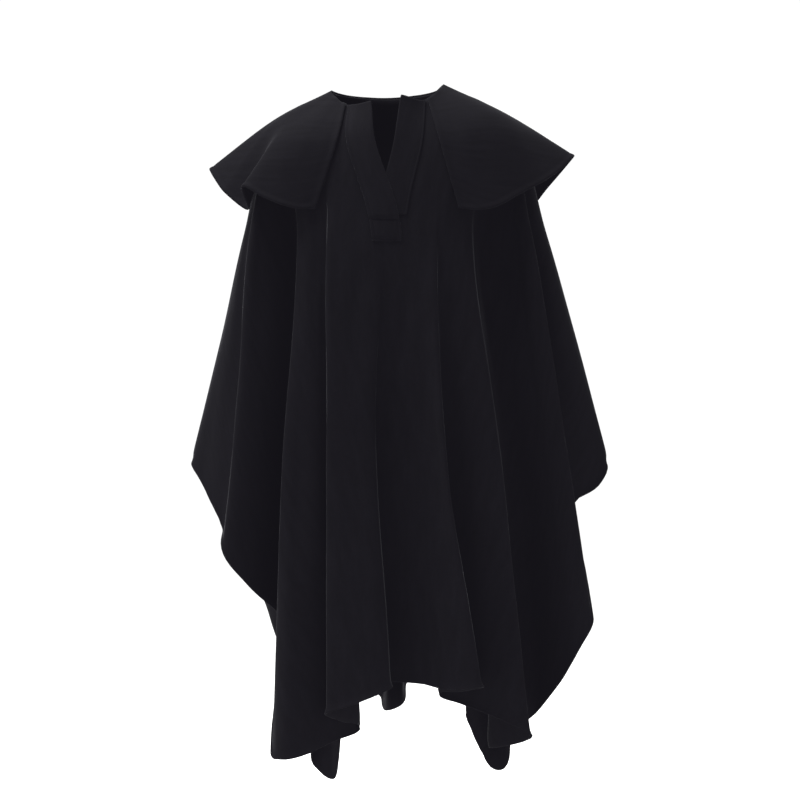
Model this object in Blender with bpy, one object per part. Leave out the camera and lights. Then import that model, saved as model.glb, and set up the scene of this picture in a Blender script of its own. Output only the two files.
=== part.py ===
"""A heavy wool poncho cape with a flared capelet collar, in the form it hangs in when worn.

Units are metres, +Z is up and the wearer faces -Y. The origin is at the base of the neck, where
the cape is held. The body is one cloth sheet lofted through its folds: every fold line runs from
the neckline over the shoulder and down to the cut edge, and the front and back panels are the
two parts of that sheet between the seams that run down the arms.
"""

from collections import namedtuple

import bpy
import numpy as np
from mathutils import Vector
from mathutils.bvhtree import BVHTree

MM = 0.001
CLOTH = 2.6 * MM  # thickness of the doubled wool
SEAM_GAP = 0.3 * MM  # clearance between pieces at a seam
BAND_WIDTH = 49 * MM  # each placket band
BAND_LAP = 4 * MM  # how far a band laps over the panel it is sewn to
UPPER_BAND_END_Z = -261 * MM  # the upper band runs on to here, below the opening
UNDER_BAND_END_Z = -226 * MM
CHEST_Z = -250 * MM  # the level at which the folds start to open out
UPPER_RINGS = 8  # rings of the mesh from the neckline to the chest
LOWER_RINGS = 15  # and from there to the cut edge
COLUMN_PITCH = 62 * MM  # spacing of the mesh's columns along the hem, at most
TIGHT_CROWN = 25 * MM  # a fold with a crown under this has a column on each side of it
CROWN_SHARE = 0.8  # how far down its crown each of these columns lies
OPENING_RINGS = 7  # the placket opening is cut down to this ring
HANDLE_SHARE = 0.38  # most of the way to its neighbour that a fold's curve stays straight
ARC_POINTS = 25  # points of a smooth curve between two of the points it passes through
FINE_POINTS = 1200  # points of a whole fold line before it is divided into steps
LINE_STEPS = 4  # steps of a fold line to one ring of the mesh
SHARP_ANGLE = 0.9  # radians; faces that meet at more than this have a sharp edge

# A fold line: where it is at the chest, half way down, and where it ends at the cut edge, in
# millimetres, with the breadth of its crown. Ridges stand out from the body and valleys sink in.
Fold = namedtuple("Fold", "name chest_x chest_y mid_x mid_y end_x end_y end_z crown")

FRONT_FOLDS = [
    Fold("over_arm_left", -266, 5, -312, 8, -362, 12, -659, 45),
    Fold("arm_front_left", -261, -35, -299, -40, -334, -50, -700, 40),
    Fold("arm_valley_left", -252, -54, -270, -98, -300, -130, -775, 12),
    Fold("arm_ridge_left", -247, -76, -264, -116, -287, -158, -815, 22),
    Fold("arm_panel_left", -226, -72, -236, -110, -256, -150, -866, 60),
    Fold("side_valley_left", -158, -52, -178, -62, -196, -78, -936, 20),
    Fold("side_ridge_left", -166, -102, -191, -161, -205, -168, -1160, 12),
    Fold("side_round_left", -157, -111, -180, -168, -187, -202, -1163, 30),
    Fold("side_panel_left", -146, -117, -160, -170, -156, -206, -1157, 60),
    Fold("inner_panel_left", -130, -117, -130, -167, -104, -190, -1135, 40),
    Fold("inner_valley_left", -122, -118, -95, -152, -56, -140, -1118, 14),
    Fold("tucked_layer_left", -116, -121, -99, -177, -84, -187, -1100, 40),
    Fold("inner_ridge_left", -112, -125, -111, -187, -110, -236, -1080, 13),
    Fold("centre_panel_left", -82, -132, -74, -187, -57, -250, -1060, 60),
    Fold("opening_left", -33, -133, -27, -168, -3, -240, -1036, 24),
    Fold("centre_valley", -6, -134, -32, -128, -22, -166, -1036, 40),
    Fold("opening_right", 20, -132, 42, -130, 48, -184, -1036, 60),
    Fold("centre_panel_right", 50, -129, 72, -158, 102, -226, -1041, 60),
    Fold("inner_ridge_right", 77, -124, 93, -188, 153, -240, -1034, 13),
    Fold("tucked_layer_right", 81, -121, 88, -164, 117, -186, -1049, 40),
    Fold("inner_valley_right", 85, -119, 84, -134, 82, -142, -1060, 14),
    Fold("inner_panel_right", 92, -117, 108, -132, 121, -160, -1073, 40),
    Fold("side_panel_right", 112, -109, 146, -152, 177, -192, -1091, 60),
    Fold("side_ridge_right", 137, -95, 191, -162, 237, -216, -1121, 13),
    Fold("front_corner_right", 146, -70, 186, -106, 168, -140, -1152, 16),
    Fold("side_valley_right", 164, -46, 219, -46, 249, -62, -1106, 18),
    Fold("arm_panel_right", 213, -50, 262, -76, 298, -108, -1040, 60),
    Fold("arm_round_right", 228, -70, 277, -96, 326, -122, -984, 30),
    Fold("arm_ridge_right", 243, -80, 300, -106, 352, -100, -937, 16),
    Fold("arm_valley_right", 238, -46, 274, -47, 318, -44, -734, 14),
    Fold("arm_front_right", 264, -37, 313, -38, 369, -10, -702, 40),
]

BACK_FOLDS = [
    Fold("over_arm_right", 279, 8, 338, 12, 391, 15, -664, 45),
    Fold("arm_back_right", 272, 45, 324, 50, 362, 66, -704, 40),
    Fold("arm_back_valley_right", 256, 64, 296, 76, 328, 92, -748, 16),
    Fold("arm_back_ridge_right", 240, 88, 282, 128, 310, 182, -856, 24),
    Fold("back_side_valley_right", 186, 62, 214, 70, 244, 84, -1010, 26),
    Fold("back_edge_right", 160, 88, 198, 134, 221, 190, -1196, 18),
    Fold("back_corner_right", 150, 97, 188, 154, 203, 224, -1253, 18),
    Fold("back_hem_right", 142, 101, 168, 148, 173, 206, -1216, 18),
    Fold("corner_turn_right", 134, 102, 148, 128, 138, 158, -1130, 20),
    Fold("back_ridge_right", 98, 114, 120, 186, 146, 280, -1104, 15),
    Fold("back_valley_right", 58, 114, 56, 140, 30, 152, -1074, 20),
    Fold("back_ridge_centre", 10, 119, 8, 196, 6, 284, -1138, 22),
    Fold("back_valley_left", -42, 114, -38, 140, -24, 152, -1090, 20),
    Fold("back_ridge_left", -84, 114, -88, 186, -74, 280, -1112, 18),
    Fold("corner_turn_left", -116, 105, -109, 125, -90, 154, -1150, 26),
    Fold("back_hem_left", -134, 99, -139, 145, -118, 208, -1262, 18),
    Fold("back_corner_left", -148, 96, -158, 150, -142, 216, -1252, 20),
    Fold("back_edge_left", -160, 88, -172, 130, -152, 184, -1196, 18),
    Fold("back_side_valley_left", -186, 60, -200, 68, -202, 92, -1020, 26),
    Fold("arm_back_ridge_left", -236, 84, -250, 130, -262, 180, -872, 22),
    Fold("arm_back_valley_left", -250, 62, -280, 74, -305, 90, -746, 16),
    Fold("arm_back_left", -262, 42, -306, 48, -340, 60, -700, 40),
]

# The neckline and the line over the shoulders, as rings that the fold lines pass through.
RingPoint = namedtuple("RingPoint", "x y z")

LEFT_NECK = [RingPoint(-108, 4, 4), RingPoint(-98, -28, -12), RingPoint(-74, -54, -27)]
OPENING_NECK = [RingPoint(-74, -54, -27), RingPoint(-8, -88, -20), RingPoint(56, -58, -18)]
RIGHT_NECK = [RingPoint(56, -58, -18), RingPoint(80, -30, 2), RingPoint(92, 2, 15)]
BACK_NECK = [
    RingPoint(92, 2, 15),
    RingPoint(72, 48, 8),
    RingPoint(-6, 78, 2),
    RingPoint(-84, 50, 4),
    RingPoint(-108, 4, 4),
]
LEFT_SHOULDER = [
    RingPoint(-214, 4, -62),
    RingPoint(-192, -56, -84),
    RingPoint(-140, -87, -92),
    RingPoint(-77, -95, -90),
]
OPENING_SHOULDER = [RingPoint(-77, -95, -90), RingPoint(-12, -107, -90), RingPoint(51, -95, -90)]
RIGHT_SHOULDER = [
    RingPoint(51, -95, -90),
    RingPoint(130, -88, -92),
    RingPoint(190, -56, -80),
    RingPoint(214, 4, -56),
]
BACK_SHOULDER = [
    RingPoint(214, 4, -56),
    RingPoint(176, 72, -74),
    RingPoint(60, 106, -84),
    RingPoint(-60, 106, -84),
    RingPoint(-178, 72, -78),
    RingPoint(-214, 4, -62),
]

# The capelet from its front edge on the wearer's left, round the back, to its other front edge.
Flare = namedtuple("Flare", "name neck_x neck_y neck_z mid_x mid_y mid_z hem_x hem_y hem_z crown")

CAPELET_FLARES = [
    Flare("front_edge_right", 64, -57, -13, 82, -102, -86, 117, -120, -214, 14),
    Flare("front_panel_right", 74, -43, -4, 112, -100, -80, 166, -124, -216, 50),
    Flare("arm_front_right", 82, -28, 6, 160, -90, -66, 232, -106, -184, 50),
    Flare("shoulder_front_right", 88, -12, 14, 198, -50, -46, 292, -52, -146, 40),
    Flare("shoulder_tip_right", 93, 4, 20, 216, 4, -40, 330, 14, -108, 14),
    Flare("shoulder_back_right", 90, 20, 18, 206, 44, -56, 286, 60, -160, 30),
    Flare("blade_valley_right", 82, 38, 14, 168, 90, -84, 226, 128, -226, 30),
    Flare("blade_ridge_right", 66, 56, 11, 112, 116, -92, 150, 172, -232, 30),
    Flare("back_valley_right", 34, 72, 8, 60, 122, -98, 78, 150, -250, 40),
    Flare("back_ridge", -6, 82, 6, -4, 126, -98, 0, 178, -242, 40),
    Flare("back_valley_left", -46, 74, 6, -62, 122, -98, -80, 150, -252, 40),
    Flare("blade_ridge_left", -76, 60, 7, -112, 116, -94, -150, 172, -238, 30),
    Flare("blade_valley_left", -94, 40, 8, -168, 90, -88, -222, 128, -236, 30),
    Flare("shoulder_back_left", -104, 22, 9, -206, 50, -64, -286, 80, -172, 30),
    Flare("shoulder_tip_left", -109, 5, 9, -216, 8, -47, -331, 22, -131, 14),
    Flare("shoulder_front_left", -109, -1, 7, -213, -20, -52, -302, -36, -176, 14),
    Flare("shoulder_valley_left", -108, -8, 4, -204, -42, -60, -256, -70, -212, 12),
    Flare("shoulder_ridge_left", -105, -18, -2, -190, -68, -70, -264, -98, -174, 12),
    Flare("arm_front_left", -99, -30, -8, -160, -92, -82, -222, -120, -196, 50),
    Flare("front_panel_left", -91, -42, -17, -126, -100, -88, -172, -128, -214, 50),
    Flare("front_edge_left", -82, -52, -22, -95, -102, -90, -133, -124, -216, 14),
]
BAND_STEP_UP = 9 * MM  # where the upper band has risen onto the band under it
BAND_COLUMNS = 6
BAND_SAMPLES = 241  # points across the panel that a band's width is measured along
CAPELET_RINGS = 9
CAPELET_PITCH = 34 * MM
CAPELET_EASE = 3.2 * MM  # how far the capelet stands off the body past its seam
EASE_BY = 0.2  # the share of its depth by which it does
REST_TO = 0.5  # the share of the body's depth that it can rest on
REST_COLUMNS = 5  # columns between two folds, and rows, of the surface that it rests on
REST_ROWS = 40


def smooth_through(points, count):
    """Evenly spaced points on a smooth curve through the given points."""
    knots = np.array(points, float)
    before = 2 * knots[0] - knots[1]
    after = 2 * knots[-1] - knots[-2]
    frame = np.vstack([before, knots, after])
    spans = np.sqrt(np.linalg.norm(np.diff(frame, axis=0), axis=1))
    dense = []
    for i in range(1, len(frame) - 2):
        a, b, c, d = frame[i - 1 : i + 3]
        s0, s1, s2 = spans[i - 1 : i + 2]
        out = (b - a) / s0 - (c - a) / (s0 + s1) + (c - b) / s1
        into = (c - b) / s1 - (d - b) / (s1 + s2) + (d - c) / s2
        t = np.linspace(0, 1, ARC_POINTS)[:, None]
        dense.append(
            (2 * t**3 - 3 * t**2 + 1) * b
            + (t**3 - 2 * t**2 + t) * s1 * out
            + (3 * t**2 - 2 * t**3) * c
            + (t**3 - t**2) * s1 * into
        )
    dense = np.vstack(dense)
    along = np.r_[0, np.cumsum(np.linalg.norm(np.diff(dense, axis=0), axis=1))]
    even = np.linspace(0, along[-1], count)
    return np.stack([np.interp(even, along, dense[:, k]) for k in range(3)], axis=1)


def unit(vectors):
    return vectors / np.maximum(np.linalg.norm(vectors, axis=-1, keepdims=True), 1e-12)


class Sheet:
    """Cloth lofted through fold lines: point(u, v) with u along the folds' order, v down them."""

    def __init__(self, lines, crowns, closed):
        self.lines = np.array(lines)  # fold, step down the line, xyz
        self.crowns = np.array(crowns)
        self.closed = closed

    def knots(self, v):
        steps = self.lines.shape[1] - 1
        place = np.clip(v, 0, 1) * steps
        low = np.minimum(place.astype(int), steps - 1)
        part = (place - low)[None, :, None]
        return self.lines[:, low] * (1 - part) + self.lines[:, low + 1] * part

    def points(self, u, v):
        """A grid of points, one column for each u and one row for each v."""
        knots = self.knots(np.asarray(v, float))
        count = len(knots)
        if self.closed:
            before, after = np.roll(knots, 1, axis=0), np.roll(knots, -1, axis=0)
        else:
            before = np.concatenate([2 * knots[:1] - knots[1:2], knots[:-1]])
            after = np.concatenate([knots[1:], 2 * knots[-1:] - knots[-2:-1]])
        gap_before = np.linalg.norm(knots - before, axis=2, keepdims=True)
        gap_after = np.linalg.norm(after - knots, axis=2, keepdims=True)
        heading = unit(unit(knots - before) + unit(after - knots))
        crown = self.crowns[:, None, None]
        handle_in = heading * np.minimum(crown, HANDLE_SHARE * gap_before)
        handle_out = heading * np.minimum(crown, HANDLE_SHARE * gap_after)
        u = np.asarray(u, float)
        first = np.floor(u).astype(int)
        if not self.closed:
            first = np.minimum(first, count - 2)
        t = (u - first)[:, None, None]
        i, j = first % count, (first + 1) % count
        return (
            (1 - t) ** 3 * knots[i]
            + 3 * (1 - t) ** 2 * t * (knots[i] + handle_out[i])
            + 3 * (1 - t) * t**2 * (knots[j] - handle_in[j])
            + t**3 * knots[j]
        )

    def normals(self, u, v):
        """Outward directions at the same grid."""
        du, dv = 0.02, 0.004
        u, v = np.asarray(u, float), np.asarray(v, float)
        if self.closed:
            across = self.points(u + du, v) - self.points(u - du, v)
        else:
            top = len(self.lines) - 1
            across = self.points(np.minimum(u + du, top), v) - self.points(np.maximum(u - du, 0), v)
        down = self.points(u, np.minimum(v + dv, 1)) - self.points(u, np.maximum(v - dv, 0))
        return unit(np.cross(down, across))


def fold_line(neck, shoulder, fold):
    """One fold line from neck to cut edge; its first part, to the chest, has the upper rings."""
    chest = np.array([fold.chest_x, fold.chest_y, CHEST_Z / MM])
    end = np.array([fold.end_x, fold.end_y, fold.end_z])
    middle = np.array([fold.mid_x, fold.mid_y, (chest[2] + end[2]) / 2])
    whole = smooth_through([neck, shoulder, chest, middle, end], FINE_POINTS)
    split = int(np.argmax(whole[:, 2] <= chest[2]))
    upper = np.linspace(0, split, LINE_STEPS * UPPER_RINGS + 1)
    lower = np.linspace(split, len(whole) - 1, LINE_STEPS * LOWER_RINGS + 1)
    rows = np.r_[upper, lower[1:]]
    return np.stack([np.interp(rows, np.arange(len(whole)), whole[:, k]) for k in range(3)], axis=1)


def body_sheet():
    """The whole poncho as one closed sheet, front folds first, and where its panels begin."""
    names = [fold.name for fold in FRONT_FOLDS + BACK_FOLDS]
    cut_left, cut_right = names.index("opening_left"), names.index("opening_right")
    side_right = names.index("over_arm_right")
    stretches = [
        (0, cut_left, LEFT_NECK, LEFT_SHOULDER),
        (cut_left, cut_right, OPENING_NECK, OPENING_SHOULDER),
        (cut_right, side_right, RIGHT_NECK, RIGHT_SHOULDER),
        (side_right, len(names), BACK_NECK, BACK_SHOULDER),
    ]
    necks, shoulders = {}, {}
    for first, last, neck, shoulder in stretches:
        neck_points = smooth_through(neck, last - first + 1)
        shoulder_points = smooth_through(shoulder, last - first + 1)
        for i in range(first, last):
            necks[i], shoulders[i] = neck_points[i - first], shoulder_points[i - first]
    folds = FRONT_FOLDS + BACK_FOLDS
    lines = [fold_line(necks[i], shoulders[i], folds[i]) * MM for i in range(len(folds))]
    sheet = Sheet(lines, [fold.crown * MM for fold in folds], closed=True)
    return sheet, cut_left, cut_right, side_right


def columns(sheet, first, last, pitch):
    """Column positions from fold `first` to fold `last`, at most `pitch` apart at the hem.

    A tight fold has no column on its line but one on each side, which rounds its crown.
    """
    fixed = [first]
    for i in range(first, last + 1):
        tight = sheet.crowns[i % len(sheet.lines)] < TIGHT_CROWN and first < i < last
        for side in (-1, 1) if tight else (0,):
            beside = sheet.points([i, i + side], [1.0])[:, 0] if side else None
            apart = np.linalg.norm(beside[1] - beside[0]) if side else 1
            shift = sheet.crowns[i % len(sheet.lines)] * CROWN_SHARE / apart
            fixed.append(i + side * min(shift, HANDLE_SHARE))
    places = []
    for start, stop in zip(fixed, fixed[1:]):
        ends = sheet.points(np.linspace(start, stop, 9), [1.0])[:, 0]
        length = np.linalg.norm(np.diff(ends, axis=0), axis=1).sum()
        count = int(np.ceil(length / pitch))
        places.extend(start + (stop - start) * np.arange(count) / max(count, 1))
    return np.array(places + [last])


def wall(name, outer, inner, keep, material):
    """A closed cloth wall between two grids of points, on the cells that `keep` marks."""
    wide, deep = outer.shape[:2]
    points = np.concatenate([outer.reshape(-1, 3), inner.reshape(-1, 3)])
    faces = []

    def corner(i, j, side):
        return side * wide * deep + i * deep + j

    def kept(i, j):
        return 0 <= i < wide - 1 and 0 <= j < deep - 1 and keep[i, j]

    for i in range(wide - 1):
        for j in range(deep - 1):
            if not keep[i, j]:
                continue
            ring = [(i, j), (i, j + 1), (i + 1, j + 1), (i + 1, j)]
            faces.append([corner(*place, 0) for place in ring])
            faces.append([corner(*place, 1) for place in reversed(ring)])
            beyond = [(i - 1, j), (i, j + 1), (i + 1, j), (i, j - 1)]
            for k, cell in enumerate(beyond):
                if not kept(*cell):
                    a, b = ring[k], ring[(k + 1) % 4]
                    faces.append([corner(*b, 0), corner(*a, 0), corner(*a, 1), corner(*b, 1)])
    used = sorted({index for face in faces for index in face})
    slot = {index: k for k, index in enumerate(used)}
    mesh = bpy.data.meshes.new(name)
    faces = [[slot[index] for index in face] for face in faces]
    mesh.from_pydata([tuple(points[index]) for index in used], [], faces)
    mesh.update()
    mesh.shade_smooth()
    mesh.set_sharp_from_angle(angle=SHARP_ANGLE)
    mesh.materials.append(material)
    obj = bpy.data.objects.new(name, mesh)
    bpy.context.scene.collection.objects.link(obj)
    return obj


def wool(name, shade):
    """Matt black wool cloth."""
    material = bpy.data.materials.new(name)
    material.use_nodes = True
    shader = material.node_tree.nodes["Principled BSDF"]
    shader.inputs["Base Color"].default_value = (shade, shade, shade * 1.12, 1)
    shader.inputs["Roughness"].default_value = 0.9
    shader.inputs["Metallic"].default_value = 0
    return material


def panel(name, sheet, first, last, cut, material):
    """A body panel between two seams, drawn in by half a seam gap at each of them."""
    u = columns(sheet, first, last, COLUMN_PITCH)
    rings = UPPER_RINGS + LOWER_RINGS
    v = np.linspace(0, 1, rings + 1)
    outer, out = sheet.points(u, v), sheet.normals(u, v)
    for edge, toward in ((0, 1), (-1, -2)):
        outer[edge] += unit(outer[toward] - outer[edge]) * SEAM_GAP / 2
    inner = outer - out * CLOTH
    keep = np.ones((len(u) - 1, rings), bool)
    if cut:
        left, right = np.searchsorted(u, cut)
        keep[left:right, :OPENING_RINGS] = False
    return wall(name, outer, inner, keep, material)


def resting(points, v, below):
    """The points, lifted where they must to lie on the sheet below, closest at the neckline."""
    u = np.linspace(0, len(below.lines), len(below.lines) * REST_COLUMNS + 1)
    grid = below.points(u, np.linspace(0, REST_TO, REST_ROWS))
    wide, deep = grid.shape[:2]
    corners = [i * deep + j for i in range(wide - 1) for j in range(deep - 1)]
    faces = [(k, k + 1, k + deep + 1, k + deep) for k in corners]
    tree = BVHTree.FromPolygons([Vector(point) for point in grid.reshape(-1, 3)], faces)
    lifted = points.copy()
    for j, step in enumerate(v):
        clear = CLOTH + SEAM_GAP + CAPELET_EASE * min(1, step / EASE_BY)
        for i in range(len(points)):
            spot, out, _, _ = tree.find_nearest(Vector(points[i, j]))
            height = (Vector(points[i, j]) - spot).dot(out)
            if height < clear:
                lifted[i, j] = np.array(Vector(points[i, j]) + out * (clear - height))
    return lifted


def capelet(below, material):
    """The flared collar, from one front edge round the back to the other."""
    lines = []
    for flare in CAPELET_FLARES:
        neck, middle, hem = flare[1:4], flare[4:7], flare[7:10]
        lines.append(smooth_through([neck, middle, hem], CAPELET_RINGS * LINE_STEPS + 1) * MM)
    sheet = Sheet(lines, [flare.crown * MM for flare in CAPELET_FLARES], closed=False)
    u = columns(sheet, 0, len(CAPELET_FLARES) - 1, CAPELET_PITCH)
    v = np.linspace(0, 1, CAPELET_RINGS + 1)
    outer = resting(sheet.points(u, v), v, below)
    inner = outer - sheet.normals(u, v) * CLOTH
    keep = np.ones((len(u) - 1, CAPELET_RINGS), bool)
    return wall("capelet", outer, inner, keep, material)


def band(name, sheet, seam, edge, end_z, clearance, heights, material):
    """A placket band, sewn along fold line `seam` and laid towards fold line `edge`.

    It keeps `clearance` from that line where the opening is narrow, and `heights` are the layers
    of cloth that its outer face is above the panel: at its lap, just inside it, and at its edge.
    """
    toward = 1 if edge > seam else -1
    line = sheet.lines[seam]
    end = np.interp(-end_z, -line[:, 2], np.linspace(0, 1, len(line)))
    rings = np.arange(UPPER_RINGS + 1) / (UPPER_RINGS + LOWER_RINGS)
    v = np.r_[rings[rings < end], end]
    u = np.linspace(seam - toward, edge, BAND_SAMPLES)
    base, out = sheet.points(u, v), sheet.normals(u, v)
    steps = np.linalg.norm(np.diff(base, axis=0), axis=2)
    across = np.vstack([np.zeros(len(v)), np.cumsum(steps, axis=0)])
    across -= across[np.argmin(abs(u - seam))]
    share = np.linspace(0, 1, BAND_COLUMNS)
    inner = np.zeros((len(share) + 1, len(v), 3))
    outer = np.zeros_like(inner)
    for j in range(len(v)):
        width = min(BAND_WIDTH, across[-1, j] - clearance)
        places = np.r_[-BAND_LAP, share * width]
        spot, lift = [
            np.stack([np.interp(places, across[:, j], grid[:, j, k]) for k in range(3)], axis=1)
            for grid in (base, out)
        ]
        height = np.interp(places, (-BAND_LAP, BAND_STEP_UP, width), heights)[:, None]
        outer[:, j] = spot + unit(lift) * height * (CLOTH + SEAM_GAP)
        inner[:, j] = outer[:, j] - unit(lift) * CLOTH
    if toward < 0:
        inner, outer = inner[::-1], outer[::-1]
    return wall(name, outer, inner, np.ones((len(share), len(v) - 1), bool), material)


for old in list(bpy.data.objects):
    bpy.data.objects.remove(old)

body, cut_left, cut_right, side_right = body_sheet()
panel("front_panel", body, 0, side_right, (cut_left, cut_right), wool("front_wool", 0.012))
panel("back_panel", body, side_right, len(body.lines), None, wool("back_wool", 0.011))
capelet(body, wool("capelet_wool", 0.014))
wool_band = wool("band_wool", 0.013)
band("placket_upper", body, cut_left, cut_right, UPPER_BAND_END_Z, 1 * MM, (1.15, 2.15, 2.15), wool_band)
band("placket_under", body, cut_right, cut_left, UNDER_BAND_END_Z, 11 * MM, (1.15, 1.05, 1.05), wool_band)
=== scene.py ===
"""A heavy black wool poncho cape with a flared capelet collar, hanging as it does when worn."""

from collections import namedtuple
from math import pi

import bpy
import numpy as np
from mathutils import Matrix, Vector, noise
from mathutils.bvhtree import BVHTree


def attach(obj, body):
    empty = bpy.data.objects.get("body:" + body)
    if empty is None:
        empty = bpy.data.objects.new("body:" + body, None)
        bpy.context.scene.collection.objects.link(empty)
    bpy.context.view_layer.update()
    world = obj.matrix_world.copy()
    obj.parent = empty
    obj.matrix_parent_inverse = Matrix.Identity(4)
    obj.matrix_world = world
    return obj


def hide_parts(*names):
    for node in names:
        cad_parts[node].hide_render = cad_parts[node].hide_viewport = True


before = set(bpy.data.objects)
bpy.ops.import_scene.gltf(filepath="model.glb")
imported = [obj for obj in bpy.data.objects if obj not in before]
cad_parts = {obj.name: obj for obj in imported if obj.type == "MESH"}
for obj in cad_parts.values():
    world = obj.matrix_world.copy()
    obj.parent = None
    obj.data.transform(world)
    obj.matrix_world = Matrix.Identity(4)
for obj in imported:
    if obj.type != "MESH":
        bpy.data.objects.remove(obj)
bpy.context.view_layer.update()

# ---- The studio ----
# A pale floor below the hanging cape, white walls that light it evenly, one large soft light
# overhead, one to the left and a low one on each side for the hems. The camera is level, at the
# height of the chest.
CAMERA_HEIGHT = -0.549
CAMERA_SIDE = 0.0144
CAMERA_DISTANCE = 4.0
FRAME_WIDTH = 1.44  # what the frame holds across, in the plane of the shoulders
SENSOR = 36.0  # the camera's film, in millimetres across
GLARE = (0.0058, 0.0053, 0.0074)  # how much of the white room's light the lens spreads over the cloth
FLOOR_Z = -1.5
FLOOR_WIDTH = 60.0
FLOOR_COLOUR = (0.98, 0.98, 0.98, 1)
FLOOR_ROUGHNESS = 0.8
WALL_COLOUR = (1, 1, 1, 1)
WALL_LIGHT = 1.04

camera_data = bpy.data.cameras.new("studio_camera")
camera_data.sensor_width = SENSOR
camera_data.lens = SENSOR * CAMERA_DISTANCE / FRAME_WIDTH
camera = bpy.data.objects.new("studio_camera", camera_data)
camera.location = (CAMERA_SIDE, -CAMERA_DISTANCE, CAMERA_HEIGHT)
camera.rotation_euler = (pi / 2, 0, 0)
bpy.context.scene.collection.objects.link(camera)
bpy.context.scene.camera = camera
film = bpy.context.scene.view_settings
film.view_transform = "Standard"
film.use_curve_mapping = True
film.curve_mapping.black_level = [-share for share in GLARE]

bpy.ops.object.select_all(action="DESELECT")
bpy.ops.mesh.primitive_plane_add(size=FLOOR_WIDTH, location=(0, 0, FLOOR_Z))
floor = bpy.context.object
floor.name = "studio_floor"
bpy.ops.object.transform_apply(location=True, rotation=True, scale=True)
floor_paint = bpy.data.materials.new("floor_paint")
floor_paint.use_nodes = True
floor_shader = floor_paint.node_tree.nodes["Principled BSDF"]
floor_shader.inputs["Base Color"].default_value = FLOOR_COLOUR
floor_shader.inputs["Roughness"].default_value = FLOOR_ROUGHNESS
floor.data.materials.append(floor_paint)

walls = bpy.data.worlds.new("studio_walls")
walls.use_nodes = True
walls.node_tree.nodes["Background"].inputs["Color"].default_value = WALL_COLOUR
walls.node_tree.nodes["Background"].inputs["Strength"].default_value = WALL_LIGHT
bpy.context.scene.world = walls


def soft_light(name, place, aim, width, height, watts):
    """A large soft box at `place`, turned towards `aim`."""
    box = bpy.data.lights.new(name, "AREA")
    box.shape = "RECTANGLE"
    box.size = width
    box.size_y = height
    box.energy = watts
    lamp = bpy.data.objects.new(name, box)
    lamp.location = place
    lamp.rotation_euler = (Vector(aim) - Vector(place)).to_track_quat("-Z", "Y").to_euler()
    bpy.context.scene.collection.objects.link(lamp)


soft_light("light_overhead", place=(-0.8, -0.15, 2.3), aim=(0, 0, -0.3), width=2, height=1.6, watts=395)
soft_light("light_left", place=(-2.7, -0.3, 1.0), aim=(0, 0, -0.4), width=1.6, height=2, watts=45)
soft_light("light_low_left", place=(-1.6, -0.5, -1.25), aim=(0, 0, -1), width=1, height=0.6, watts=14)
soft_light("light_low_right", place=(1.6, -0.5, -1.25), aim=(0, 0, -1), width=1, height=0.6, watts=14)

# ---- The poncho: front and back panels ----
# Two flared panels of thick felted wool, seamed over the shoulders and down the outside of the arms.
# They hang in long folds from the shoulders, and the arms hold their sides out. The slit below the
# neck is cut in the front panel alone.
MM = 0.001
CLOTH = 2.6 * MM  # how thick the wool is
CHEST_Z = -250  # the level at which the folds start to open out, in millimetres as the folds are

# One row for each fold line: where it is at the chest and half way down, where it ends at the cut
# edge, and how broad its crown is, in millimetres. Left and right are as seen from in front.
Fold = namedtuple("Fold", "name chest_x chest_y mid_x mid_y end_x end_y end_z crown")

FRONT_FOLDS = [
    Fold("over_arm_left", -266, 5, -313, 8, -364, 12, -661, 45),
    Fold("arm_front_left", -261, -35, -299, -40, -334, -50, -700, 40),
    Fold("arm_valley_left", -252, -54, -262, -80, -294, -114, -775, 12),
    Fold("arm_ridge_left", -247, -76, -267, -116, -290, -158, -815, 25),
    Fold("arm_panel_left", -226, -72, -232, -110, -252, -152, -866, 60),
    Fold("side_valley_left", -158, -52, -178, -62, -196, -78, -936, 20),
    Fold("side_ridge_left", -166, -102, -191, -161, -205, -168, -1160, 12),
    Fold("side_round_left", -157, -111, -180, -168, -187, -202, -1163, 30),
    Fold("side_panel_left", -146, -117, -160, -170, -156, -206, -1157, 60),
    Fold("inner_panel_left", -130, -117, -130, -167, -104, -190, -1135, 40),
    Fold("inner_valley_left", -122, -118, -95, -152, -56, -140, -1118, 14),
    Fold("tucked_layer_left", -111, -120, -96, -176, -84, -187, -1100, 40),
    Fold("inner_ridge_left", -113, -125, -112, -187, -110, -236, -1080, 10),
    Fold("centre_panel_left", -82, -132, -74, -187, -57, -250, -1060, 60),
    Fold("opening_left", -33, -133, -27, -168, -3, -240, -1036, 24),
    Fold("centre_valley", -6, -134, -33, -141, -22, -160, -1036, 40),
    Fold("opening_right", 20, -132, 42, -145, 48, -177, -1036, 60),
    Fold("centre_panel_right", 50, -129, 73, -165, 102, -223, -1041, 60),
    Fold("inner_ridge_right", 77, -124, 93, -188, 153, -240, -1034, 13),
    Fold("tucked_layer_right", 81, -121, 88, -164, 117, -186, -1049, 40),
    Fold("inner_valley_right", 85, -119, 84, -134, 82, -142, -1060, 14),
    Fold("inner_panel_right", 92, -117, 108, -132, 121, -160, -1073, 40),
    Fold("side_panel_right", 112, -109, 146, -152, 177, -192, -1091, 60),
    Fold("side_ridge_right", 137, -95, 191, -162, 237, -216, -1121, 13),
    Fold("front_corner_right", 146, -70, 186, -106, 168, -140, -1152, 16),
    Fold("side_valley_right", 164, -46, 219, -46, 254, -60, -1104, 18),
    Fold("arm_panel_right", 213, -50, 262, -76, 298, -108, -1040, 60),
    Fold("arm_round_right", 228, -70, 277, -96, 326, -122, -984, 30),
    Fold("arm_ridge_right", 243, -80, 300, -106, 352, -100, -937, 16),
    Fold("arm_valley_right", 238, -46, 274, -47, 318, -44, -734, 14),
    Fold("arm_front_right", 264, -37, 313, -38, 369, -10, -702, 40),
]

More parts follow.
